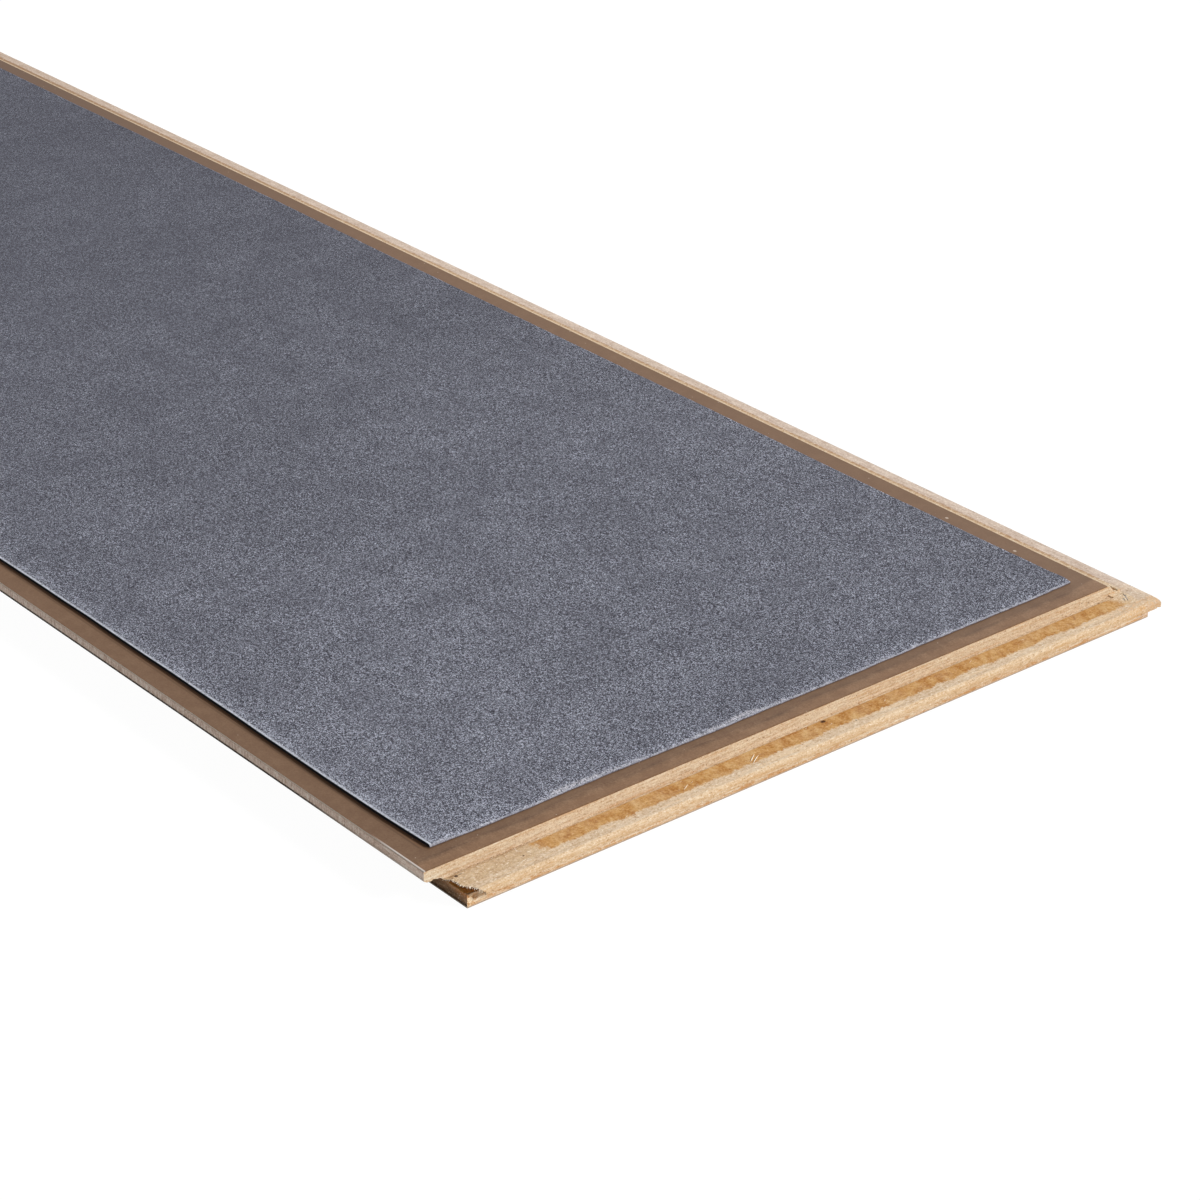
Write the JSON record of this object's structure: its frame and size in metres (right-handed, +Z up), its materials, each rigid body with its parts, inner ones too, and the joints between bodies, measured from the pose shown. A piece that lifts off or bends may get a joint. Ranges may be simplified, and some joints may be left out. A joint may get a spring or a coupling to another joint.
{
  "type": "laminate floor plank with bonded underlay",
  "caption": "Laminate floor plank with a milled click profile on all four sides and a bonded underlay pad, lying on its printed face.",
  "frame": {"origin": "middle of the plank's lowest face, on the floor it lies on", "axes": "+X along the plank towards the short end with the tongue, +Y across it towards the long tongue, +Z up, from the printed face to the pad"},
  "size_m": [1.3882, 0.2004, 0.009],
  "materials": {
    "fibreboard": "milled raw fibreboard, matte",
    "decor": "printed wood grain under a clear wear layer, satin",
    "backing": "brown resin-soaked paper film, satin",
    "pad": "grey fine-grained acoustic pad, matte"
  },
  "bodies": {
    "root": {"core_board": "fibreboard", "decor_layer": "decor", "backing_film": "backing", "underlay_pad": "pad"}
  },
  "joints": []
}
